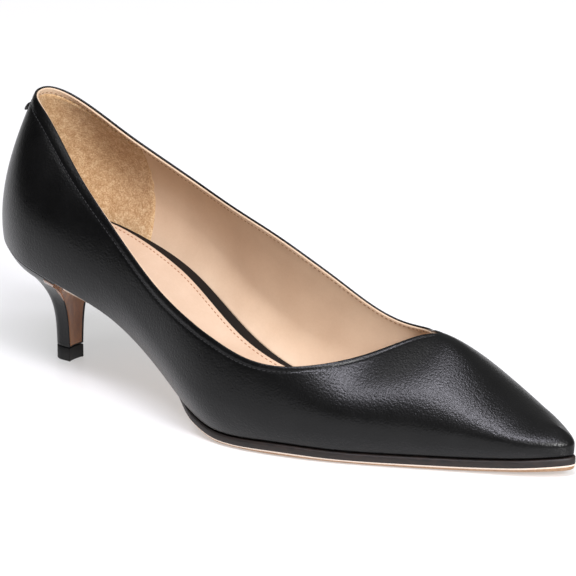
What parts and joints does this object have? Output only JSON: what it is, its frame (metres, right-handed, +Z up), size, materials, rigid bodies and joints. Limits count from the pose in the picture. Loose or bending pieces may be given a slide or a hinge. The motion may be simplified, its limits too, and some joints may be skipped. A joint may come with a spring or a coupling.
{
  "type": "kitten heel pump",
  "caption": "Pointed-toe kitten heel pump for the right foot: low-cut smooth leather upper, slender set-back heel and thin outsole.",
  "frame": {"origin": "middle of the heel tip on the floor", "axes": "+X to the toe, +Y to the medial (inner) side, +Z up"},
  "size_m": [0.2506, 0.0853, 0.1042],
  "materials": {
    "upper_leather": "smooth black calf, semi-gloss, beige leather lining inside",
    "outsole": "dark brown edge and tan underside",
    "insole_board": "dark matt covered board",
    "sock_leather": "beige leather, satin",
    "heel_cover": "black leather wrap, glossy tan breast",
    "top_piece_rubber": "black rubber, matt",
    "tab_leather": "smooth black leather"
  },
  "bodies": {
    "root": {"upper": "upper_leather", "outsole": "outsole", "insole": "insole_board", "sock": "sock_leather", "heel": "heel_cover", "top_piece": "top_piece_rubber", "back_tab": "tab_leather"}
  },
  "joints": []
}
